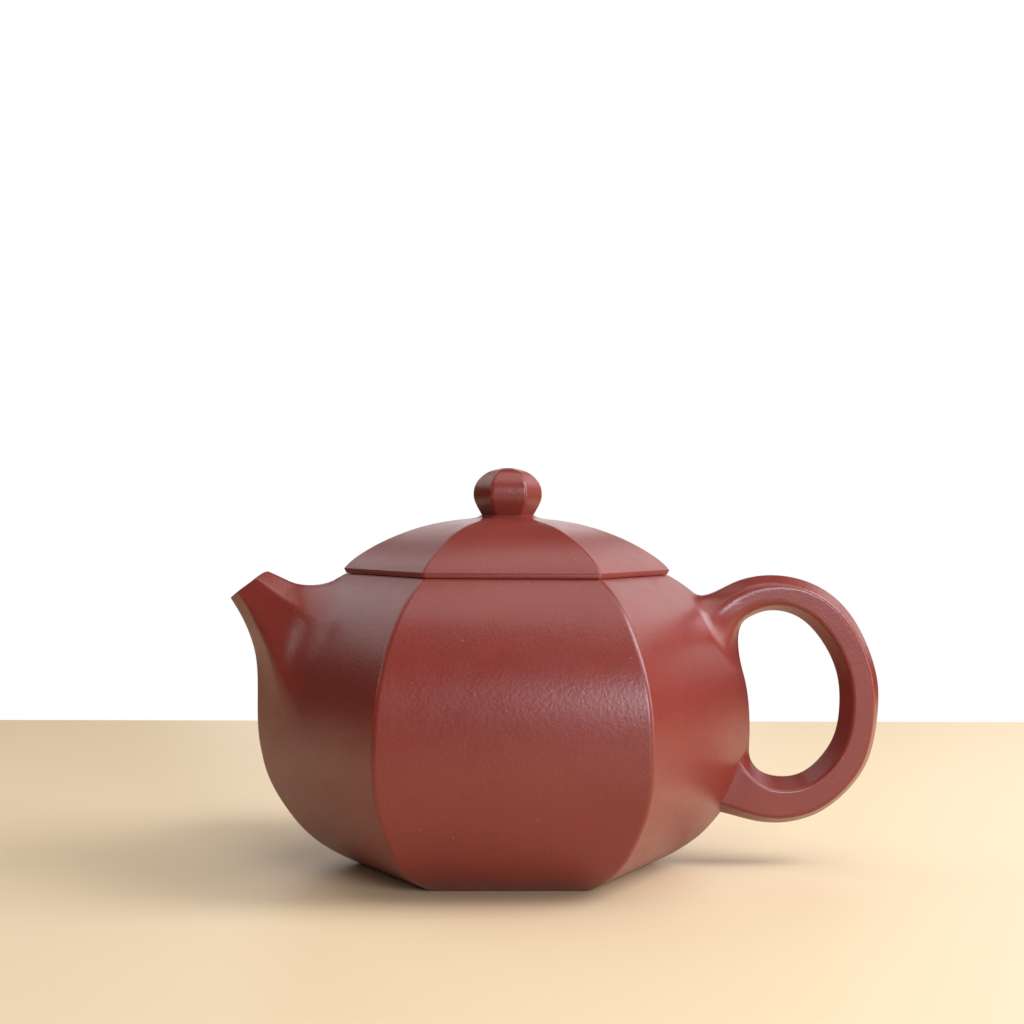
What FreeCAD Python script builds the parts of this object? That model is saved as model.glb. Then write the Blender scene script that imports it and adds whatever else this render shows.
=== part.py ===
import FreeCAD, Part
import math
import os

from FreeCAD import Vector

# A slab-built teapot with six sides. Millimetres, +Z up, origin at the centre of the foot.
# The spout points along -X and the handle along +X. Each lies on a ridge between two side panels,
# and one flat panel faces -Y.

# ---- driving dimensions -------------------------------------------------------------------

SIDES = 6
FLAT = math.cos(math.pi / SIDES)     # distance to a flat, for a ridge at distance 1
FLAT_TURN = 180 / SIDES              # degrees from a ridge to the middle of the next panel
REACH = 70.0                         # longer than any part of the pot is wide

wall = 2.8                           # thickness of the side panels
pot_height = 62.6                    # table to the plane of the mouth
foot_ridge = 31.5                    # ridge distance at the table
mouth_ridge = 35.1                   # ridge distance at the top edge of the walls
# Control points of the side ridge, as (distance from the axis, height), foot to mouth.
SIDE_RIDGE = [(foot_ridge, 0), (40.3, 3.5), (46.9, 10.4), (53.1, 20.9), (53.3, 31.3),
              (52.3, 41.7), (47.0, 52.2), (41.4, 59.1), (mouth_ridge, pot_height)]

mouth_flat = 27.0                    # axis to the flats of the mouth opening
rim_depth = 5.0                      # height of the collar that lines the mouth
rim_foot = 1.8                       # width of that collar at its lower edge
rim_head = 4.5                       # width at the mouth, before it is cut to meet the walls

lid_ridge = 35.3                     # ridge distance of the lid's edge
lid_plate_height = 1.2
lid_bevel = 0.5                      # at the lower edge of the lid's plate
knob_seat = 75.5                     # top of the little flare under the knob
# Control points of the lid's ridge above its plate: the dome from edge to middle, then the flare.
DOME_RIDGE = [(lid_ridge, pot_height + lid_plate_height), (34.1, 65.35), (30.1, 68.1), (24.5, 70.9),
              (18.0, 73.2), (12.0, 74.35)]
DOME_MIDDLE = [(6.0, 74.4)]
FLARE_RIDGE = [(8.8, 74.6), (6.4, 74.95), (5.7, knob_seat)]
lid_wall = 2.6
plate_bore_flat = 22.5               # axis to the flats of the opening in the lid's plate
flange_play = 0.35                   # gap between the lid's flange and the mouth
flange_wall = 2.1
flange_depth = 6.5

# The knob's ridge, from the flare round to the vent.
KNOB_RIDGE = [(5.6, knob_seat), (6.5, 77.1), (7.25, 78.8), (7.4, 80.5), (6.9, 82.3), (5.5, 84.0),
              (3.6, 85.1), (1.2, 85.7)]
vent_radius = 0.9

# Spout and handle are lofted through six-cornered sections. A section is given by the two
# corners in the plane of symmetry, as (x, z), and by the distance of its sides from that plane.
SPOUT = [((-51.5, 63.0), (-59.8, 57.1), 4.1),
         ((-48.6, 61.9), (-57.6, 53.2), 4.6),
         ((-45.4, 60.8), (-55.8, 49.1), 5.6),
         ((-42.0, 60.5), (-54.5, 45.1), 7.2),
         ((-38.6, 61.1), (-53.6, 40.6), 9.4),
         ((-34.0, 59.0), (-52.0, 34.5), 12.0)]
spout_shoulder = 0.25                # where a section's side begins, as a share of its length
BORE = [((-57.0, 62.5), 2.7), ((-52.0, 56.8), 3.2), ((-47.6, 51.0), 4.6), ((-43.0, 47.4), 6.2),
        ((-38.0, 45.5), 6.2)]        # centre of the channel as (x, z), and its radius

HANDLE = [((36.0, 53.6), (46.5, 39.0), 6.0),
          ((42.6, 57.2), (50.2, 45.6), 5.6),
          ((46.0, 59.3), (50.0, 50.3), 5.0),
          ((50.2, 61.7), (52.8, 53.3), 4.7),
          ((57.0, 62.9), (57.2, 54.9), 4.6),
          ((64.7, 61.8), (62.3, 54.2), 4.6),
          ((71.8, 58.0), (66.6, 51.2), 4.6),
          ((77.2, 51.3), (70.2, 46.2), 4.6),
          ((80.7, 42.6), (72.4, 40.2), 4.6),
          ((81.5, 34.5), (72.7, 33.6), 4.6),
          ((79.9, 24.3), (71.4, 27.5), 4.6),
          ((75.7, 16.8), (67.8, 22.3), 4.7),
          ((68.6, 11.0), (63.3, 19.4), 4.8),
          ((60.2, 8.7), (58.2, 19.2), 4.9),
          ((53.3, 9.3), (54.4, 21.2), 5.0),
          ((48.6, 10.8), (52.9, 24.8), 5.0),
          ((42.0, 12.5), (49.0, 27.5), 5.0)]
handle_shoulder = 0.22

strainer_centre = (-43.5, 46.5)
strainer_radius = 8.6                # outside of the pierced ball behind the spout
strainer_wall = 1.4
strainer_hole = 0.8                  # radius of each of its holes
strainer_rings = 3                   # rings of holes, counting the one in the middle
strainer_tilt = 24.0                 # degrees between its rings of holes


# ---- curves and faces in the XZ plane -----------------------------------------------------

def spline(poles):
    """Clamped cubic B-spline on evenly spaced knots."""
    spans = len(poles) - 3
    knots = [i / spans for i in range(spans + 1)]
    mults = [4] + [1] * (spans - 1) + [4]
    curve = Part.BSplineCurve()
    curve.buildFromPolesMultsKnots(poles, mults, knots, False, 3)
    return curve


def flat_curve(ridge):
    """The middle line of a panel whose ridge has the control points given."""
    return spline([Vector(distance * FLAT, 0, z) for distance, z in ridge])


def inset(curve, depth, steps=16):
    """A curve that stays the given depth inside another, on its left-hand side."""
    points = []
    for i in range(steps + 1):
        u = i / steps
        along = curve.tangent(u)[0]
        points.append(curve.value(u) + Vector(-along.z, 0, along.x) * depth)
    inner = Part.BSplineCurve()
    inner.interpolate(points)
    return inner


def backwards(curve):
    turned = curve.copy()
    turned.reverse()
    return turned


def outline(*pieces):
    """Face bounded by curves and (x, z) corners in order, joined by straight edges."""
    edges = []
    ends = []
    for piece in pieces:
        if isinstance(piece, tuple):
            corner = Vector(piece[0], 0, piece[1])
            ends.append((corner, corner))
        else:
            edges.append(piece.toShape())
            ends.append((piece.StartPoint, piece.EndPoint))
    for (_, here), (there, _) in zip(ends, ends[1:] + ends[:1]):
        if here.distanceToPoint(there) > 1e-6:
            edges.append(Part.LineSegment(here, there).toShape())
    return Part.Face(Part.Wire(Part.__sortEdges__(edges)))


def at(point):
    """(x, z) of a point in the XZ plane."""
    return (point.x, point.z)


# ---- six-sided solids ---------------------------------------------------------------------

def wedge():
    """The sixth of space between two neighbouring ridges, about +X."""
    half = REACH * math.tan(math.pi / SIDES)
    corners = [Vector(0, 0, 0), Vector(REACH, -half, 0), Vector(REACH, half, 0)]
    base = Part.Face(Part.makePolygon(corners + corners[:1]))
    return base.extrude(Vector(0, 0, 2 * REACH))


def panel(face, side):
    """A face swept level across one side and mitred on both ridges. Side 0 is at 30 degrees."""
    slab = face.translated(Vector(0, -REACH, 0)).extrude(Vector(0, 2 * REACH, 0))
    solid = slab.common(wedge())
    solid.rotate(Vector(0, 0, 0), Vector(0, 0, 1), FLAT_TURN * (2 * side + 1))
    return solid


def six_sided(face):
    """The same face swept round all six sides, as one solid."""
    first, *rest = [panel(face, side) for side in range(SIDES)]
    return first.multiFuse(rest).removeSplitter()


# ---- lofted solids ------------------------------------------------------------------------

def section(first, second, half_width, shoulder):
    """Six-cornered wire between two corners in the plane of symmetry."""
    a = Vector(first[0], 0, first[1])
    b = Vector(second[0], 0, second[1])
    near = a + (b - a) * shoulder
    far = b + (a - b) * shoulder
    side = Vector(0, half_width, 0)
    return Part.makePolygon([a, near + side, far + side, b, far - side, near - side, a])


def loft(sections, shoulder):
    """Solid through a list of (corner, corner, half width) sections."""
    wires = [section(a, b, half, shoulder) for a, b, half in sections]
    return Part.makeLoft(wires, True, False)


def channel(stations):
    """Round passage through (centre, radius) stations in the plane of symmetry."""
    wires = []
    last = len(stations) - 1
    for i, ((x, z), radius) in enumerate(stations):
        before = stations[max(i - 1, 0)][0]
        after = stations[min(i + 1, last)][0]
        along = Vector(after[0] - before[0], 0, after[1] - before[1])
        wires.append(Part.Wire(Part.makeCircle(radius, Vector(x, 0, z), along)))
    return Part.makeLoft(wires, True, False)


# ---- the pot ------------------------------------------------------------------------------

outside = flat_curve(SIDE_RIDGE)
inside = inset(outside, wall)
envelope = six_sided(outline(outside, (0, pot_height), (0, 0)))
bore = channel(BORE)


def walls():
    """Six curved panels, mitred where they meet. The spout's channel passes through two."""
    names = ["back_right", "back", "back_left", "front_left", "front", "front_right"]
    face = outline(outside, backwards(inside))
    solids = {}
    for side, name in enumerate(names):
        solid = panel(face, side)
        if "left" in name:
            solid = solid.cut(bore)
        solids["wall_" + name] = solid
    return solids


def base_slab():
    """Flat floor between the feet of the walls, on which the pot stands."""
    floor = inside.StartPoint.z
    return six_sided(outline((0, 0), at(outside.StartPoint), at(inside.StartPoint), (0, floor)))


def hollow():
    """The space inside the walls, up to the plane of the mouth."""
    return outline(inside, at(outside.EndPoint), (0, pot_height), (0, inside.StartPoint.z))


def mouth_rim():
    """Collar that closes the top ends of the walls and lines the mouth."""
    low = pot_height - rim_depth
    block = outline((mouth_flat, low), (mouth_flat + rim_foot, low),
                    (mouth_flat + rim_head, pot_height), (mouth_flat, pot_height))
    return six_sided(block.common(hollow()).Faces[0])


def spout():
    return loft(SPOUT, spout_shoulder).cut(envelope).cut(bore)


def handle():
    return loft(HANDLE, handle_shoulder).cut(envelope)


def strainer():
    """Pierced ball, cut where it meets the inside of the walls."""
    centre = Vector(strainer_centre[0], 0, strainer_centre[1])
    ball = Part.makeSphere(strainer_radius, centre)
    ball = ball.cut(Part.makeSphere(strainer_radius - strainer_wall, centre))
    ball = ball.common(six_sided(hollow()))
    holes = []
    for ring in range(strainer_rings):
        for i in range(max(1, 6 * ring)):
            tilt = math.radians(strainer_tilt * ring)
            turn = 2 * math.pi * i / max(1, 6 * ring)
            aim = Vector(math.cos(tilt), math.sin(tilt) * math.cos(turn),
                         math.sin(tilt) * math.sin(turn))
            holes.append(Part.makeCylinder(strainer_hole, 2 * strainer_radius, centre, aim))
    return ball.cut(Part.makeCompound(holes))


# ---- the lid ------------------------------------------------------------------------------

def lid_plate():
    """Six-sided ring with a bevelled lower edge, on which the dome is built."""
    low = pot_height
    high = pot_height + lid_plate_height
    edge = lid_ridge * FLAT
    return six_sided(outline((plate_bore_flat, low), (edge - lid_bevel, low), (edge, low + lid_bevel),
                             (edge, high), (plate_bore_flat, high)))


def lid_dome():
    """Low hollow dome with a flare for the knob and a vent through its middle."""
    base = pot_height + lid_plate_height
    roof = DOME_MIDDLE[-1][1] - lid_wall
    upper = flat_curve(DOME_RIDGE + FLARE_RIDGE)
    lower = inset(flat_curve(DOME_RIDGE + DOME_MIDDLE), lid_wall)
    shell = outline(upper, (0, knob_seat), (0, roof), backwards(lower))
    above = outline((0, base), (REACH, base), (REACH, REACH + base), (0, REACH + base))
    dome = six_sided(shell.common(above).Faces[0])
    return dome.cut(vent())


def lid_flange():
    """Collar that drops into the mouth and keeps the lid in place."""
    outer = mouth_flat - flange_play
    inner = outer - flange_wall
    return six_sided(outline((inner, pot_height - flange_depth), (outer, pot_height - flange_depth),
                             (outer, pot_height), (inner, pot_height)))


def knob():
    """Ball knob that narrows to its seat."""
    side = Part.BSplineCurve()
    side.interpolate([Vector(distance * FLAT, 0, z) for distance, z in KNOB_RIDGE])
    top = KNOB_RIDGE[-1][1]
    return six_sided(outline(side, (0, top), (0, knob_seat))).cut(vent())


def vent():
    """Small upright hole through the knob and the top of the dome."""
    low = knob_seat - 3 * lid_wall
    return Part.makeCylinder(vent_radius, REACH, Vector(0, 0, low))


# ---- one file for each piece --------------------------------------------------------------

pieces = walls()
for make in (base_slab, mouth_rim, spout, strainer, handle, lid_plate, lid_dome, lid_flange, knob):
    pieces[make.__name__] = make()

os.makedirs("parts", exist_ok=True)
for name, shape in pieces.items():
    solid = shape.Solids[0]
    solid.exportStep("parts/" + name + ".step")
    print(name, "solids", len(shape.Solids), "volume", round(solid.Volume), "valid", solid.isValid())
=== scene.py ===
import math

import bpy
import numpy as np
from mathutils import Matrix, Vector


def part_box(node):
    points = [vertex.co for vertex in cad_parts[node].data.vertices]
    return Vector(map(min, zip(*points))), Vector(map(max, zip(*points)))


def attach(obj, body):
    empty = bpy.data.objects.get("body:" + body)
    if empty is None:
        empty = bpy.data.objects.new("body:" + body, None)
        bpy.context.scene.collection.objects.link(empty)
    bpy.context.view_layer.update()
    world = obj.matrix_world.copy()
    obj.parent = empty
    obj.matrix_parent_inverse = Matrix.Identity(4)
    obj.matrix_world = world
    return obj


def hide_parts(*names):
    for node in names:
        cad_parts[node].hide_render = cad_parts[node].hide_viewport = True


# A six-sided clay teapot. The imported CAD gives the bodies, their places and the main sizes. Here every
# piece but the strainer is made again with its rounded ridges, its smooth joints and its clay. Shapes
# are worked out in millimetres in the frame's axes, and turned into metres when a mesh is made.

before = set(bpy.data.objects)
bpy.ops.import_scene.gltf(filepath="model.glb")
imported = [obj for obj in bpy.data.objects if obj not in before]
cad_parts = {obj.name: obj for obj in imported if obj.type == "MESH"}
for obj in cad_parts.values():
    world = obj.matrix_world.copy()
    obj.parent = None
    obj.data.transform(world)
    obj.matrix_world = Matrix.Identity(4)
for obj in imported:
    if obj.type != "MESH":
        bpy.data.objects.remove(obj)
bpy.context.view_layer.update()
MM = 0.001


def corners(node):
    """Lowest and highest corner of a CAD node, in millimetres."""
    low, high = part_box(node)
    return np.array(low) / MM, np.array(high) / MM


# ---- driving dimensions, in millimetres ------------------------------------------------------

SIDES = 6
HALF_TURN = math.pi / SIDES                     # from the middle of a panel to its ridge
FLAT = math.cos(HALF_TURN)                      # distance to a flat, for a ridge at distance 1

pot_height = corners("wall_front")[1][2]
foot_ridge = corners("base_slab")[1][0]
knob_seat, knob_top = corners("knob")[0][2], corners("knob")[1][2]
lid_edge_ridge = corners("lid_plate")[1][0]
dome_base = corners("lid_dome")[0][2]
flange_foot = corners("lid_flange")[0][2]
flange_flat = corners("lid_flange")[1][1]
rim_foot = corners("mouth_rim")[0][2]

WALL = 2.8
SIDE_RIDGE = [(foot_ridge, 0), (40.3, 3.5), (46.9, 10.4), (53.1, 20.9), (53.3, 31.3),
              (52.3, 41.7), (47.0, 52.2), (41.4, 59.1), (35.1, pot_height)]
RIDGE_ROUND = 1.4                               # how far the ridges of the walls are rounded
INNER_ROUND = 0.4                               # the same on the inside
DOME_RIDGE = [(lid_edge_ridge, dome_base), (34.1, 65.35), (30.1, 68.1), (24.5, 70.9), (18.0, 73.2),
              (12.0, 74.35)]
DOME_MIDDLE = [(6.0, 74.4)]
FLARE_RIDGE = [(8.8, 74.6), (6.4, 74.95), (5.7, knob_seat)]
LID_ROUND = 0.8
LID_WALL = 2.6
LID_PLAY = 0.35                                 # between the lid's flange and the collar of the mouth
KNOB_RIDGE = [(5.6, knob_seat), (6.5, 77.1), (7.25, 78.8), (7.4, 80.5), (6.9, 82.3), (5.5, 84.0),
              (3.6, 85.1), (1.2, knob_top)]
KNOB_ROUND = 1.0
VENT = 0.9                                      # radius of the vent
HAIR = 0.02                                     # kept between faces that would lie in one plane


# ---- curves ------------------------------------------------------------------------------------

def unit(vectors):
    """Vectors brought to length 1. Those without length stay so."""
    return vectors / (np.linalg.norm(vectors, axis=-1, keepdims=True) + 1e-12)


def bspline(poles, count):
    """Points on the clamped cubic B-spline with evenly spaced knots."""
    poles = np.array(poles, float)
    spans = len(poles) - 3
    knots = np.concatenate([[0] * 3, np.linspace(0, 1, spans + 1), [1] * 3])
    u = np.linspace(0, 1, count)
    basis = np.array([(u >= knots[i]) & (u < knots[i + 1]) for i in range(len(knots) - 1)], float)
    basis[spans + 2, -1] = 1
    for degree in (1, 2, 3):
        grown = []
        for i in range(len(knots) - 1 - degree):
            left = knots[i + degree] - knots[i]
            right = knots[i + degree + 1] - knots[i + 1]
            part = np.zeros(count)
            if left > 0:
                part += (u - knots[i]) / left * basis[i]
            if right > 0:
                part += (knots[i + degree + 1] - u) / right * basis[i + 1]
            grown.append(part)
        basis = np.array(grown)
    return basis.T @ poles


def through(points, times):
    """Natural cubic spline through points at times 0, 1, 2 and so on, read at the given times."""
    points = np.array(points, float)
    n = len(points)
    matrix = np.zeros((n, n))
    right = np.zeros(points.shape)
    matrix[0, 0] = matrix[-1, -1] = 1
    for i in range(1, n - 1):
        matrix[i, i - 1:i + 2] = (1, 4, 1)
        right[i] = 6 * (points[i - 1] - 2 * points[i] + points[i + 1])
    bend = np.linalg.solve(matrix, right)
    at = np.minimum(times.astype(int), n - 2)
    b = (times - at)[:, None]
    a = 1 - b
    return (a * points[at] + b * points[at + 1]
            + ((a ** 3 - a) * bend[at] + (b ** 3 - b) * bend[at + 1]) / 6)


def offset(line, depth):
    """A line of (distance, height) points moved to its left by depth."""
    along = unit(np.gradient(line, axis=0))
    return line + depth * np.stack([-along[:, 1], along[:, 0]], 1)


def arc(before, corner, after, radius, steps):
    """Points of the arc that rounds a corner between the points before and after it."""
    back, ahead = unit(before - corner), unit(after - corner)
    half = math.acos(np.clip(back @ ahead, -1, 1)) / 2
    centre = corner + unit(back + ahead) * radius / math.sin(half)
    reach = radius / math.tan(half)
    first, last = corner + back * reach - centre, corner + ahead * reach - centre
    sweep = math.pi - 2 * half
    return [centre + (math.sin((1 - share) * sweep) * first
                      + math.sin(share * sweep) * last) / math.sin(sweep)
            for share in np.linspace(0, 1, steps + 1)]


def rounded(points, radii, steps=6):
    """Open line through corner points, each corner rounded by an arc of its own radius."""
    points = np.array(points, float)
    line = [points[0]]
    for before, corner, after, radius in zip(points, points[1:], points[2:], radii):
        line += arc(before, corner, after, radius, steps) if radius > 0 else [corner]
    line.append(points[-1])
    return np.array(line)


def divided(line, length):
    """The same line with points added where they can be at least length apart."""
    dense = [line[0]]
    for a, b in zip(line, line[1:]):
        steps = max(1, int(np.linalg.norm(b - a) / length))
        dense += [a + (b - a) * (i + 1) / steps for i in range(steps)]
    return dense


# ---- meshes built from patches -----------------------------------------------------------------

class Shell:
    """Mesh put together from grids of points. Points that coincide are welded, and every patch keeps
    its own normals, so that a joint between patches is as sharp or as smooth as it is made."""

    def __init__(self):
        self.index = {}
        self.points = []
        self.faces = []
        self.normals = []

    def vertex(self, point):
        key = tuple(np.round(point, 4))
        if key not in self.index:
            self.index[key] = len(self.points)
            self.points.append(point)
        return self.index[key]

    def grid(self, points, normals=None, flip=False):
        """Adds a grid of points as quads. Without normals each quad keeps its own."""
        rows, columns = points.shape[:2]
        ids = [[self.vertex(points[i, j]) for j in range(columns)] for i in range(rows)]
        for i in range(rows - 1):
            for j in range(columns - 1):
                quad = [(i, j), (i, j + 1), (i + 1, j + 1), (i + 1, j)]
                if flip:
                    quad.reverse()
                quad_ids = [ids[a][b] for a, b in quad]
                if len(set(quad_ids)) < 3:
                    continue
                kept = [n for n in range(4) if quad_ids[n] != quad_ids[n - 1]]
                if normals is None:
                    spots = [points[quad[n]] for n in kept]
                    flat = np.cross(spots[2] - spots[0], spots[-1] - spots[1])
                    self.normals += [unit(flat)] * len(kept)
                else:
                    self.normals += [normals[quad[n]] for n in kept]
                self.faces.append([quad_ids[n] for n in kept])

    def piece(self, name, body, slot, *nodes):
        """Makes the mesh, on its body, in place of its CAD nodes."""
        mesh = bpy.data.meshes.new(name)
        mesh.from_pydata([tuple(p * MM) for p in self.points], [], self.faces)
        mesh.polygons.foreach_set("use_smooth", [True] * len(mesh.polygons))
        mesh.validate()
        mesh.normals_split_custom_set([tuple(n) for n in self.normals])
        obj = bpy.data.objects.new(name, mesh)
        bpy.context.scene.collection.objects.link(obj)
        mesh.materials.append(MATERIALS[slot])
        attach(obj, body)
        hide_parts(*nodes)


# ---- clay --------------------------------------------------------------------------------------

DEEP, BODY, PALE = (0.185, 0.024, 0.016), (0.205, 0.028, 0.019), (0.235, 0.037, 0.026)
PALE_GRAIN, DARK_GRAIN = (0.45, 0.21, 0.16), (0.07, 0.018, 0.015)
SHINIEST, DULLEST = 0.285, 0.33                 # roughness
BLACK, WHITE = (0.0, 0.0, 0.0), (1.0, 1.0, 1.0)


def clay(name, shade):
    """Unglazed burnished clay: brick red with fine sand, faint mottling and a soft skin."""
    material = bpy.data.materials.new(name)
    material.use_nodes = True
    nodes, links = material.node_tree.nodes, material.node_tree.links
    shader = nodes["Principled BSDF"]
    shader.inputs["Specular IOR Level"].default_value = 0.5
    place = nodes.new("ShaderNodeTexCoord")

    def noise(scale, detail, roughness=0.5):
        texture = nodes.new("ShaderNodeTexNoise")
        texture.inputs["Scale"].default_value = scale
        texture.inputs["Detail"].default_value = detail
        texture.inputs["Roughness"].default_value = roughness
        links.new(place.outputs["Object"], texture.inputs["Vector"])
        return texture.outputs["Fac"]

    def ramp(value, *stops):
        blend = nodes.new("ShaderNodeValToRGB")
        for element, (at, colour) in zip(blend.color_ramp.elements, stops):
            element.position = at
            element.color = (*colour, 1)
        links.new(value, blend.inputs["Fac"])
        return blend.outputs["Color"]

    def times(value, factor):
        """A value times a number or another value."""
        product = nodes.new("ShaderNodeMath")
        product.operation = "MULTIPLY"
        links.new(value, product.inputs[0])
        if isinstance(factor, float):
            product.inputs[1].default_value = factor
        else:
            links.new(factor, product.inputs[1])
        return product.outputs[0]

    def specks(scale, size, rarity):
        """1 inside sparse grains, 0 elsewhere."""
        cells = nodes.new("ShaderNodeTexVoronoi")
        cells.inputs["Scale"].default_value = scale
        links.new(place.outputs["Object"], cells.inputs["Vector"])
        dot = ramp(cells.outputs["Distance"], (size * 0.6, WHITE), (size, BLACK))
        pick = nodes.new("ShaderNodeSeparateColor")
        links.new(cells.outputs["Color"], pick.inputs["Color"])
        some = ramp(pick.outputs["Red"], (rarity, BLACK), (rarity + 0.03, WHITE))
        return times(dot, some)

    def mixed(factor, first, second):
        """First where the factor is 0 and second where it is 1. Either can be a plain colour."""
        mix = nodes.new("ShaderNodeMix")
        mix.data_type = "RGBA"
        links.new(factor, mix.inputs[0])
        for value, socket in ((first, mix.inputs[6]), (second, mix.inputs[7])):
            if isinstance(value, tuple):
                socket.default_value = (*value, 1)
            else:
                links.new(value, socket)
        return mix.outputs[2]

    def bump(height, strength, distance):
        node = nodes.new("ShaderNodeBump")
        node.inputs["Strength"].default_value = strength
        node.inputs["Distance"].default_value = distance
        links.new(height, node.inputs["Height"])
        return node

    deep, body, pale = [tuple(channel * shade for channel in colour) for colour in (DEEP, BODY, PALE)]
    mottle = ramp(noise(55, 3), (0.35, deep), (0.65, body))
    sand = ramp(noise(2600, 1), (0.42, BLACK), (0.70, WHITE))
    colour = mixed(times(sand, 0.45), mottle, pale)
    colour = mixed(times(specks(620, 0.12, 0.93), 0.50), colour, PALE_GRAIN)
    colour = mixed(times(specks(480, 0.11, 0.94), 0.50), colour, DARK_GRAIN)
    links.new(colour, shader.inputs["Base Color"])

    rough = ramp(noise(240, 2), (0.30, (SHINIEST,) * 3), (0.70, (DULLEST,) * 3))
    links.new(rough, shader.inputs["Roughness"])

    grain = bump(noise(1500, 2, 0.55), 0.16, 0.00012)
    skin = bump(noise(1300, 2), 0.07, 0.0005)
    links.new(grain.outputs["Normal"], skin.inputs["Normal"])
    links.new(skin.outputs["Normal"], shader.inputs["Normal"])
    return material


MATERIALS = {"pot_clay": clay("pot clay", 1.0), "lid_clay": clay("lid clay", 1.03)}


# ---- six-sided surfaces ------------------------------------------------------------------------

FLAT_STEPS, ARC_STEPS = 18, 6                   # columns across a flat, and across half a ridge


def facet(line, side, ridge_round):
    """One side of a six-sided surface whose flats follow a line of (distance, height) points.
    Rows run along the line, columns from the middle of one rounded ridge to the next. The radius of
    the ridges is one number, or one for each point of the line."""
    line = np.array(line, float)
    distance, height = line[:, :1], line[:, 1:]
    radius = np.minimum(np.broadcast_to(np.reshape(ridge_round, (-1, 1)), distance.shape), distance)
    turn = np.linspace(0, HALF_TURN, ARC_STEPS + 1)
    angles = np.concatenate([-turn[::-1], np.zeros(FLAT_STEPS - 1), turn])[None]
    share = np.concatenate([-np.ones(ARC_STEPS), np.linspace(-1, 1, FLAT_STEPS + 1),
                            np.ones(ARC_STEPS)])[None]
    reach = distance - radius
    out = reach + radius * np.cos(angles)
    across = reach * math.tan(HALF_TURN) * share + radius * np.sin(angles)
    heading = HALF_TURN * (2 * side + 1)
    c, s = math.cos(heading), math.sin(heading)
    points = np.stack([out * c - across * s, out * s + across * c, height + 0 * out], 2)
    level = np.stack([-np.sin(heading + angles), np.cos(heading + angles), 0 * angles], 2)
    along = np.gradient(points, axis=0)
    return points, unit(np.cross(np.broadcast_to(level, points.shape), along))


def six_sided(shell, line, ridge_round):
    for side in range(SIDES):
        shell.grid(*facet(line, side, ridge_round))


def flats_of(ridge, rounding):
    """The flats' (distance, height) points that leave a rounded ridge at the distances given."""
    return [(distance * FLAT + rounding * (1 - FLAT), height) for distance, height in ridge]


OUTER = bspline(flats_of(SIDE_RIDGE, RIDGE_ROUND), 90)
INNER = offset(OUTER, WALL)


def flat_at(height):
    """Distance to the flats of the walls at a height."""
    return np.interp(height, OUTER[:, 1], OUTER[:, 0])


def on_walls(y, z, way, depth=0.0):
    """Points on the outside of the walls about the ridge that points along way (+1 or -1 in X)."""
    flat = flat_at(z) - depth
    centre = (flat - RIDGE_ROUND) / FLAT
    curved = centre + np.sqrt(np.maximum(RIDGE_ROUND ** 2 - y ** 2, 0))
    plain = flat / FLAT - np.abs(y) * math.tan(HALF_TURN)
    x = np.where(np.abs(y) < RIDGE_ROUND * math.sin(HALF_TURN), curved, plain)
    return np.stack([way * x, y + 0 * x, z + 0 * x], -1)


# ---- body --------------------------------------------------------------------------------------

def walls():
    names = ["back_right", "back", "back_left", "front_left", "front", "front_right"]
    for side, name in enumerate(names):
        shell = Shell()
        outer, normals = facet(OUTER, side, RIDGE_ROUND)
        inner, inner_normals = facet(INNER, side, INNER_ROUND)
        shell.grid(outer, normals)
        shell.grid(inner, -inner_normals, flip=True)
        shell.grid(np.stack([outer[-1], inner[-1]]))
        shell.grid(np.stack([inner[0], outer[0]]))
        shell.grid(np.stack([inner[:, 0], outer[:, 0]], 1))
        shell.grid(np.stack([outer[:, -1], inner[:, -1]], 1))
        shell.piece("wall_" + name + "_clay", "pot", "pot_clay", "wall_" + name)


def ring(name, body, slot, node, outline, radii, ridge_round):
    """Closed six-sided ring from a closed outline of (distance, height) corners, seen
    counter-clockwise, each corner rounded."""
    start = [(np.array(outline[0]) + np.array(outline[-1])) / 2]
    line = rounded(np.concatenate([start, outline, start]), radii)
    shell = Shell()
    six_sided(shell, divided(line, 0.8), ridge_round)
    shell.piece(name, body, slot, node)


def base_slab():
    edge = OUTER[0, 0] - HAIR
    top, height = INNER[0] - (HAIR, 0)
    line = rounded([(0, 0), (edge, 0), (top, height), (0, height)], (0.5, 0.5))
    shell = Shell()
    six_sided(shell, divided(line, 1.5), RIDGE_ROUND)
    shell.piece("base_slab_clay", "pot", "pot_clay", "base_slab")


def mouth_rim():
    """Collar that lines the mouth. Its foot is narrower than its top, which reaches over the walls."""
    bore = flange_flat + LID_PLAY
    foot_width = 1.8
    under_wall, wall_end = INNER[-1] + (0.1, -0.6), INNER[-1] + (HAIR, 0)
    outline = [(bore, rim_foot), (bore + foot_width, rim_foot), under_wall, wall_end, OUTER[-1],
               (bore, pot_height)]
    ring("mouth_rim_clay", "pot", "pot_clay", "mouth_rim", outline, (0.4, 0.5, 0.1, 0.1, 0.15, 0.5), 0.8)


# ---- lofted surfaces ---------------------------------------------------------------------------

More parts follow.
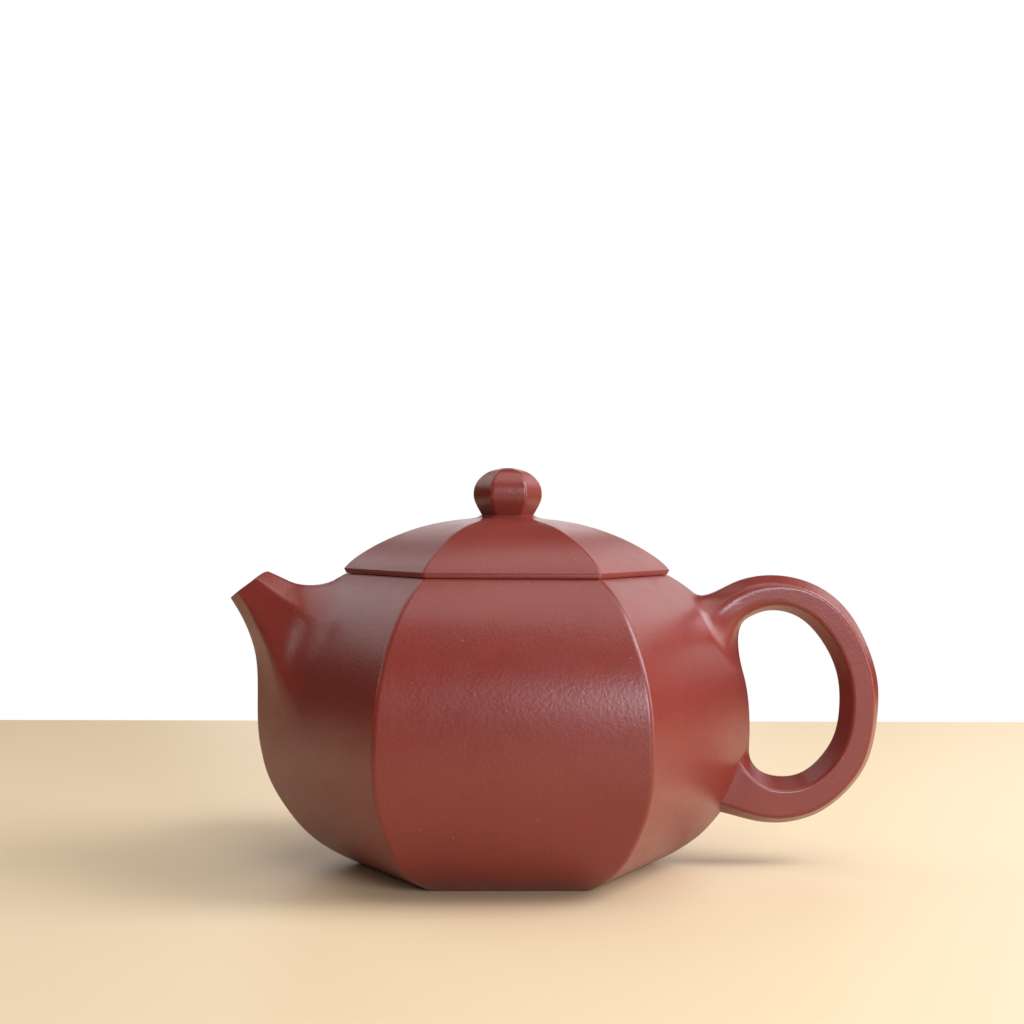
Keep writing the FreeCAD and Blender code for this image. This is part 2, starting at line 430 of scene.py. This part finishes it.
def hexagon(length, half_width, flare, shares, radius, arc_steps=7, flat_steps=5):
    """Closed loop of (along, sideways) points: a hexagon with rounded corners, whose two end
    corners lie length apart on the axis. Along runs from the middle, first corner positive. The
    shares say how far from each end corner the sides begin, and flare how much wider the hexagon
    is towards its second corner."""
    half = length / 2
    near = half - shares[0] * length
    far = shares[1] * length - half
    far_width = half_width * flare
    points = np.array([(half, 0), (near, half_width), (far, far_width),
                       (-half, 0), (far, -far_width), (near, -half_width)])
    arcs = [arc(points[i - 1], points[i], points[(i + 1) % SIDES], radius, arc_steps)
            for i in range(SIDES)]
    loop = []
    for this, following in zip(arcs, arcs[1:] + arcs[:1]):
        start, stop = this[-1], following[0]
        loop += this + [start + (stop - start) * n / flat_steps for n in range(1, flat_steps)]
    return np.array(loop)


def section_loop(first, second, half_width, flare, shares, radius):
    """Rounded six-cornered loop between two (x, z) corners, as points in space, and their angles
    about its middle, 0 at the first corner."""
    first, second = np.array(first), np.array(second)
    length = np.linalg.norm(first - second)
    axis = (first - second) / length
    middle = (first + second) / 2
    flat = hexagon(length, half_width, flare, shares, radius)
    points = np.stack([middle[0] + axis[0] * flat[:, 0], flat[:, 1],
                       middle[1] + axis[1] * flat[:, 0]], 1)
    return points, np.arctan2(flat[:, 1], flat[:, 0])


def skirt(loop, heading, landing, outward, rows, leave, arrive):
    """Rows of points that leave a loop along heading and land on the walls along outward, without
    a bend at either end."""
    span = np.linalg.norm(landing - loop, axis=1)[:, None]
    grid = []
    for v in np.linspace(0, 1, rows):
        done = 10 * v ** 3 - 15 * v ** 4 + 6 * v ** 5
        leaving = v - 6 * v ** 3 + 8 * v ** 4 - 3 * v ** 5
        arriving = -4 * v ** 3 + 7 * v ** 4 - 3 * v ** 5
        grid.append((1 - done) * loop + done * landing
                    + leaving * leave * span * heading + arriving * arrive * span * outward)
    return np.array(grid)


def wrap(grid):
    """Repeats the first column after the last."""
    return np.concatenate([grid, grid[:, :1]], 1)


def tube(shell, grid, last=None, spread=-1):
    """Adds rows of closed loops as a smooth skin whose row numbered spread faces outwards. The last
    row can be given its normals."""
    around = np.roll(grid, -1, 1) - np.roll(grid, 1, 1)
    normals = unit(np.cross(around, np.gradient(grid, axis=0)))
    facing = ((grid[spread] - grid[spread].mean(0)) * normals[spread]).sum() > 0
    if not facing:
        normals = -normals
    if last is not None:
        normals[-1] = last
    shell.grid(wrap(grid), wrap(normals), flip=not facing)


def walls_normals(y, z, way):
    """Outward normals of the walls about the ridge along way."""
    step = 0.05
    dy = on_walls(y + step, z, way) - on_walls(y - step, z, way)
    dz = on_walls(y, z + step, way) - on_walls(y, z - step, way)
    return unit(np.cross(dy, dz) * way)


def landing(angles, centre, up, down, half_width, lean):
    """Loop on the walls where a smooth joint ends, as (y, z) for each angle round it."""
    turned = angles + lean * np.sin(angles)
    height = np.where(np.cos(turned) > 0, up, down)
    return half_width * np.sin(turned), centre + height * np.cos(turned)


def meet(loop, ahead, way):
    """Where the lines from a loop to the loop ahead of it reach the walls, as (y, z). It is found in
    steps that close a share of the gap, as if no line came in flatter than the flattest."""
    share, flattest, steps = 0.7, 0.3, 60
    heading = unit(ahead - loop)
    approach = np.maximum(-way * heading[:, 0], flattest)
    spot = loop
    for _ in range(steps):
        gap = way * (spot[:, 0] - on_walls(spot[:, 1], spot[:, 2], way)[:, 0])
        spot = spot + heading * (share * gap / approach)[:, None]
    return spot[:, 1], spot[:, 2]


def joint(loop, ahead, end, middle, way, rows, leave, arrive):
    """Skirt from a loop to its end on the walls, given as (y, z). The loop ahead gives the way it
    leaves, and it arrives heading away from the middle height."""
    y, z = end
    spot = on_walls(y, z, way)
    further = 1.04                              # how many times as far from the middle
    beyond = on_walls(y * further, middle + (z - middle) * further, way)
    grid = skirt(loop, unit(ahead - loop), spot, unit(beyond - spot), rows, leave, arrive)
    return grid, walls_normals(y, z, way)


# ---- spout, strainer and handle ----------------------------------------------------------------

# Stations of the spout and the handle: the two corners in the plane of symmetry as (x, z), and the
# half width. Those beyond the free part lie inside the walls, and only steer the curves. A landing is
# centre height, up, down, half width and lean, and a joint is rows, and how firmly it leaves and arrives.
SPOUT = [((-51.5, 63.0), (-59.8, 57.1), 4.1),
         ((-48.6, 61.9), (-57.6, 53.2), 4.6),
         ((-45.4, 60.8), (-55.8, 49.1), 5.6),
         ((-42.0, 60.5), (-54.5, 45.1), 7.2)]
SPOUT_ROWS = 30
SPOUT_SHARE = 0.25
SPOUT_ROUND = (0.6, 2.2)                        # at the mouth and where the free part ends
SPOUT_FLARE = (1.0, 1.25)
SPOUT_FREE = (0.0, 2.0)                         # stations where the free part begins and ends
SPOUT_LANDING = (42.5, 19.3, 20.0, 21.5, 0.12)
SPOUT_JOINT = (40, 0.8, 0.9)
# The channel's middle as (x, z), and its radius.
BORE = [((-55.45, 60.1), 2.9), ((-52.0, 56.3), 3.2), ((-49.0, 52.6), 4.2), ((-45.5, 48.9), 5.6)]
LIP_SWELL = 0.35                                # how far the rounded lip stands out

HANDLE = [((42.6, 57.2), (50.2, 45.6), 5.6),
          ((46.0, 59.3), (50.0, 50.3), 5.0),
          ((50.2, 61.7), (52.8, 53.3), 4.7),
          ((57.0, 62.9), (57.2, 54.9), 4.6),
          ((64.7, 61.8), (62.3, 54.2), 4.6),
          ((71.8, 58.0), (66.6, 51.2), 4.6),
          ((77.2, 51.3), (70.2, 46.2), 4.6),
          ((80.7, 42.6), (72.4, 40.2), 4.6),
          ((81.5, 34.5), (72.7, 33.6), 4.6),
          ((79.9, 24.3), (71.4, 27.5), 4.6),
          ((75.7, 16.8), (67.8, 22.3), 4.7),
          ((68.6, 11.0), (63.3, 19.4), 4.8),
          ((60.2, 8.7), (58.2, 19.2), 4.9),
          ((53.3, 9.3), (54.4, 21.2), 5.0),
          ((48.6, 10.8), (52.9, 24.8), 5.0)]
HANDLE_ROWS = 150
HANDLE_FREE = (2.0, 13.0)
HANDLE_ROUND = (2.4, 1.0)                       # at the upper root, and along the rest
HANDLE_OUTER_SHARES = (0.26, 0.24, 0.17)        # at the upper root, the right and the lower root
HANDLE_INNER_SHARES = (0.20, 0.25, 0.26)
UPPER_LANDING = (50.5, 8.6, 9.0, 9.4, 0.0)
UPPER_JOINT = (34, 0.8, 0.8)
LOWER_ROWS = 24
INNER_RISE = 4.0                                # how far the inside of the lower root runs up the wall
INNER_SPREAD = 6.0                              # how wide that rise is
LOWER_MIDDLE = 17.5                             # height of the middle of the lower root on the walls
CREASE = 0.08                                   # how firmly the rest of the lower root arrives
AHEAD = 0.05                                    # stations beyond a free part where its way is read
SKIN_DEPTH = 0.6                                # how deep in the walls spout and handle are closed


def sections(stations, times, flares, outer_share, inner_share, radii):
    """Rows of loops at the given times along a list of stations, and the angles of the first row
    and of the last."""
    smooth = through([(*a, *b, w) for a, b, w in stations], times)
    rows = []
    for row, flare, outer, inner, radius in zip(smooth, flares, outer_share, inner_share, radii):
        rows.append(section_loop(row[:2], row[2:4], row[4], flare, (outer, inner), radius))
    return np.array([points for points, _ in rows]), rows[0][1], rows[-1][1]


def under_skin(y, z, end_y, end_z, way, rows):
    """Rows inside the walls' surface, from one loop of (y, z) to another."""
    return [on_walls(y + (end_y - y) * share, z + (end_z - z) * share, way, SKIN_DEPTH)
            for share in np.linspace(0, 1, rows)[1:]]


def channel(angles):
    """Loops of the spout's channel, from its mouth inwards."""
    smooth = through([(x, height, radius) for (x, height), radius in BORE], np.linspace(0, 3, 20))
    loops = []
    for here, ahead in zip(smooth, np.concatenate([smooth[1:], 2 * smooth[-1:] - smooth[-2:-1]])):
        along = unit((ahead - here)[:2])
        x, z, radius = here
        loops.append(np.stack([x - along[1] * radius * np.cos(angles), radius * np.sin(angles),
                               z + along[0] * radius * np.cos(angles)], 1))
    return loops


def spout():
    end = SPOUT_FREE[1]
    times = np.concatenate([np.linspace(*SPOUT_FREE, SPOUT_ROWS), [end + AHEAD]])
    share = np.full(len(times), SPOUT_SHARE)
    radii = np.interp(times, SPOUT_FREE, SPOUT_ROUND)
    flares = np.interp(times, SPOUT_FREE, SPOUT_FLARE)
    rows, _, angles = sections(SPOUT, times, flares, share, share, radii)
    y, z = landing(angles, *SPOUT_LANDING)
    foot, foot_normals = joint(rows[-2], rows[-1], (y, z), SPOUT_LANDING[0], -1, *SPOUT_JOINT)

    bore = channel(angles)
    out = unit(rows[0] - rows[1]).mean(0)
    lip = []
    for turn in np.linspace(0, math.pi, 13)[1:-1]:
        outwards = (1 - math.cos(turn)) / 2
        lip.append(bore[0] + (rows[0] - bore[0]) * outwards + out * LIP_SWELL * math.sin(turn))
    skin = np.concatenate([bore[::-1], lip, rows[:-2], foot])
    shell = Shell()
    tube(shell, skin, last=foot_normals)
    under = [skin[-1], *under_skin(y, z, bore[-1][:, 1], bore[-1][:, 2], -1, 12), bore[-1]]
    shell.grid(wrap(np.array(under)), flip=True)
    shell.piece("spout_clay", "pot", "pot_clay", "spout")


def strainer():
    """The pierced ball behind the spout keeps its CAD shape and gets the clay."""
    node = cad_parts["strainer"]
    for holder in node.material_slots:
        holder.material = MATERIALS["pot_clay"]


def handle():
    """Two skins that meet halfway round the loop, each with its joint on the walls."""
    upper, lower = HANDLE_FREE
    times = np.concatenate([[upper - AHEAD], np.linspace(upper, lower, HANDLE_ROWS), [lower + AHEAD]])
    places = (upper, HANDLE.index(max(HANDLE)), lower)
    outer_share = np.interp(times, places, HANDLE_OUTER_SHARES)
    inner_share = np.interp(times, places, HANDLE_INNER_SHARES)
    fade = 2                                    # stations over which the rounding of the root ends
    radii = np.interp(times, (upper, upper + fade), HANDLE_ROUND)
    plain = np.ones(len(times))
    rows, angles, _ = sections(HANDLE, times, plain, outer_share, inner_share, radii)

    top_end = landing(angles, *UPPER_LANDING)
    top, top_normals = joint(rows[1], rows[0], top_end, UPPER_LANDING[0], 1, *UPPER_JOINT)

    foot_y, foot_z = meet(rows[-2], rows[-1], 1)
    above = rows[-2][:, 2] - rows[-2][:, 2].mean()
    inside = np.clip(above / INNER_SPREAD, 0, 1) * np.exp(-(foot_y / INNER_SPREAD) ** 2)
    foot_end = foot_y, foot_z + INNER_RISE * inside
    foot, foot_normals = joint(rows[-2], rows[-1], foot_end, LOWER_MIDDLE, 1, LOWER_ROWS, 1.0,
                               CREASE + inside[:, None])

    shell = Shell()
    half = len(rows) // 2
    tube(shell, np.concatenate([rows[half:1:-1], top]), last=top_normals, spread=0)
    tube(shell, np.concatenate([rows[half:-2], foot]), last=foot_normals, spread=0)
    for skin, (y, z), middle, flip in ((top, top_end, UPPER_LANDING[0], False),
                                       (foot, foot_end, LOWER_MIDDLE, True)):
        under = [skin[-1], *under_skin(y, z, 0 * y, middle + 0 * z, 1, 8)]
        shell.grid(wrap(np.array(under)), flip=flip)
    shell.piece("handle_clay", "pot", "pot_clay", "handle")


# ---- lid ---------------------------------------------------------------------------------------

LID_EDGE = flats_of([(lid_edge_ridge, 0)], LID_ROUND)[0][0]
LAP = 0.8                                       # width of the seam between plate and dome
CREST = 0.2                                     # how far below its corner the edge belongs to the dome


def lid_plate():
    gap = 0.08                                  # shadow line between the lid and the walls
    lip = 0.45                                  # the lid's edge leans in this far at its foot
    step = 0.2                                  # beside the flange, where the shadow line ends
    bore = 22.5
    top = dome_base - HAIR
    outline = [(bore, pot_height), (flange_flat, pot_height), (flange_flat + step, pot_height + gap),
               (LID_EDGE - lip, pot_height + gap), (LID_EDGE, dome_base - CREST), (LID_EDGE - LAP, top),
               (bore, top)]
    ring("lid_plate_clay", "lid", "lid_clay", "lid_plate", outline,
         (0.1, 0.05, 0.05, 0.12, 0.0, 0.0, 0.1), LID_ROUND)


def lid_flange():
    thickness = 2.1
    bore = flange_flat - thickness
    top = pot_height - HAIR / 2
    outline = [(bore, flange_foot), (flange_flat, flange_foot), (flange_flat, top), (bore, top)]
    ring("lid_flange_clay", "lid", "lid_clay", "lid_flange", outline, (0.7, 0.7, 0.05, 0.3), 1.0)


def lid_dome():
    """Hollow dome with the knob's seat on top, the vent through it and a seam on the plate."""
    edge = LID_EDGE, dome_base - CREST
    upper = bspline(flats_of(DOME_RIDGE + FLARE_RIDGE, LID_ROUND), 110)
    lower = offset(bspline(flats_of(DOME_RIDGE + DOME_MIDDLE, LID_ROUND), 80), LID_WALL)
    lower = lower[lower[:, 1] > dome_base + HAIR]
    corner = rounded([edge, upper[0], upper[3]], (0.16,), steps=5)
    roof = DOME_MIDDLE[-1][1] - LID_WALL
    seat = [(x, knob_seat) for x in np.linspace(upper[-1, 0], VENT, 6)]
    ceiling = [(x, roof) for x in np.linspace(lower[-1, 0], VENT, 8)[1:]]
    foot = lower[0, 0], dome_base
    shell = Shell()
    for line in ([*corner, *upper[4:]], seat, [seat[-1], ceiling[-1]], [foot, *lower, *ceiling][::-1],
                 [foot, (LID_EDGE - LAP, dome_base), edge]):
        six_sided(shell, line, LID_ROUND)
    shell.piece("lid_dome_clay", "lid", "lid_clay", "lid_dome")


def knob():
    side = through(flats_of(KNOB_RIDGE, KNOB_ROUND), np.linspace(0, len(KNOB_RIDGE) - 1, 70))
    top = side[-1]
    lip = 0.25                                  # rounding at the mouth of the vent
    turn = [(VENT + (top[0] - VENT) * (1 - math.sin(a)), top[1] - lip * (1 - math.cos(a)))
            for a in np.linspace(0, math.pi / 2, 6)[1:]]
    hole = [(VENT, height) for height in np.linspace(top[1] - lip, knob_seat, 16)[1:]]
    foot = [(x, knob_seat) for x in np.linspace(VENT, side[0, 0], 6)]
    shell = Shell()
    six_sided(shell, foot, np.linspace(VENT, KNOB_ROUND, len(foot)))
    six_sided(shell, [*side, *turn, *hole], [KNOB_ROUND] * len(side) + [VENT] * len(turn + hole))
    shell.piece("knob_clay", "lid", "lid_clay", "knob")


walls()
base_slab()
mouth_rim()
spout()
strainer()
handle()
lid_plate()
lid_flange()
lid_dome()
knob()


# ---- stage, light and camera -------------------------------------------------------------------

TABLE_SIDE, TABLE_FAR = 560.0, 255.0            # millimetres from the pot to the table's edges
TABLE_COLOUR = (0.78, 0.585, 0.36)
TABLE_ROUGHNESS = 0.55
# Lamps and camera are placed in metres.
ROOM_LIGHT = 0.03
POT_MIDDLE = 0.04
LAMP_DISTANCE = 0.7
DAYLIGHT = (0.80, 0.88, 1.0)
# Name, azimuth, height, size in metres, power in watts, colour.
LAMPS = [("window", 21, 16, 0.22, 3.0, DAYLIGHT),
         ("left", -80, 25, 0.15, 0.25, WHITE),
         ("right_low", 80, 14, 0.35, 1.6, WHITE),
         ("right", 80, 40, 0.35, 3.7, DAYLIGHT),
         ("right_back", 115, 38, 0.35, 0.4, DAYLIGHT),
         ("behind_right", 145, 18, 0.35, 0.5, WHITE),
         ("behind", 180, 12, 0.35, 0.6, WHITE),
         ("left_back", -130, 42, 0.60, 1.3, WHITE),
         ("above", 60, 72, 0.70, 2.8, WHITE)]

CAMERA_DISTANCE = 0.3596
CAMERA_HEIGHT = 0.0741
CAMERA_SIDE = 0.00095
CAMERA_TILT = math.radians(-0.33)               # down is positive, so the lens looks very slightly up
CAMERA_ROLL = math.radians(0.36)                # the right of the picture hangs lower by this
POT_TURN = math.radians(1.92)                   # the pot is turned this far towards the lens
LENS, SENSOR = 58.1484375, 36.0                 # focal length and width of the sensor, millimetres


def stage():
    """Pale table whose far edge lies a little behind the pot."""
    x, y = np.meshgrid(np.linspace(-TABLE_SIDE, TABLE_SIDE, 24), np.linspace(-TABLE_SIDE, TABLE_FAR, 16))
    shell = Shell()
    shell.grid(np.stack([x, y, 0 * x - HAIR], 2))
    mesh = bpy.data.meshes.new("table")
    mesh.from_pydata([tuple(p * MM) for p in shell.points], [], shell.faces)
    table = bpy.data.objects.new("table", mesh)
    bpy.context.scene.collection.objects.link(table)
    finish = bpy.data.materials.new("table finish")
    finish.use_nodes = True
    shader = finish.node_tree.nodes["Principled BSDF"]
    shader.inputs["Base Color"].default_value = (*TABLE_COLOUR, 1)
    shader.inputs["Roughness"].default_value = TABLE_ROUGHNESS
    mesh.materials.append(finish)


def area_light(name, azimuth, height, size, power, colour):
    """Square lamp aimed at the pot, from an azimuth measured to the right of -Y and an angle above
    the table, both in degrees."""
    turn, rise = math.radians(azimuth), math.radians(height)
    way = Vector((math.cos(rise) * math.sin(turn), -math.cos(rise) * math.cos(turn), math.sin(rise)))
    data = bpy.data.lights.new(name, "AREA")
    data.size = size
    data.energy = power
    data.color = colour
    lamp = bpy.data.objects.new(name, data)
    lamp.location = Vector((0, 0, POT_MIDDLE)) + way * LAMP_DISTANCE
    lamp.rotation_euler = (-way).to_track_quat("-Z", "Y").to_euler()
    lamp.visible_camera = False
    bpy.context.scene.collection.objects.link(lamp)


def light():
    """Soft boxes, a dim room for the clay to see, and a white backdrop for the camera."""
    world = bpy.data.worlds.new("studio")
    world.use_nodes = True
    nodes, links = world.node_tree.nodes, world.node_tree.links
    room = nodes["Background"]
    room.inputs["Strength"].default_value = ROOM_LIGHT
    room.inputs["Color"].default_value = (1, 1, 1, 1)
    backdrop = nodes.new("ShaderNodeBackground")
    backdrop.inputs["Color"].default_value = (1, 1, 1, 1)
    rays = nodes.new("ShaderNodeLightPath")
    choose = nodes.new("ShaderNodeMixShader")
    links.new(rays.outputs["Is Camera Ray"], choose.inputs["Fac"])
    links.new(room.outputs["Background"], choose.inputs[1])
    links.new(backdrop.outputs["Background"], choose.inputs[2])
    links.new(choose.outputs["Shader"], nodes["World Output"].inputs["Surface"])
    bpy.context.scene.world = world
    for lamp in LAMPS:
        area_light(*lamp)
    bpy.context.scene.view_settings.view_transform = "Standard"


def camera():
    """Camera in front of the panel that faces -Y. The pot stays in its frame, so the camera goes
    round it by the small angle that the pot is turned."""
    data = bpy.data.cameras.new("camera")
    data.sensor_width = SENSOR
    data.lens = LENS
    data.clip_start = 0.01
    data.clip_end = 10
    lens = bpy.data.objects.new("camera", data)
    c, s = math.cos(POT_TURN), math.sin(POT_TURN)
    lens.location = (CAMERA_SIDE * c - CAMERA_DISTANCE * s, -CAMERA_SIDE * s - CAMERA_DISTANCE * c,
                     CAMERA_HEIGHT)
    facing = (Matrix.Rotation(-POT_TURN, 3, "Z") @ Matrix.Rotation(math.pi / 2 - CAMERA_TILT, 3, "X")
              @ Matrix.Rotation(CAMERA_ROLL, 3, "Z"))
    lens.rotation_euler = facing.to_euler()
    bpy.context.scene.collection.objects.link(lens)
    bpy.context.scene.camera = lens


stage()
light()
camera()
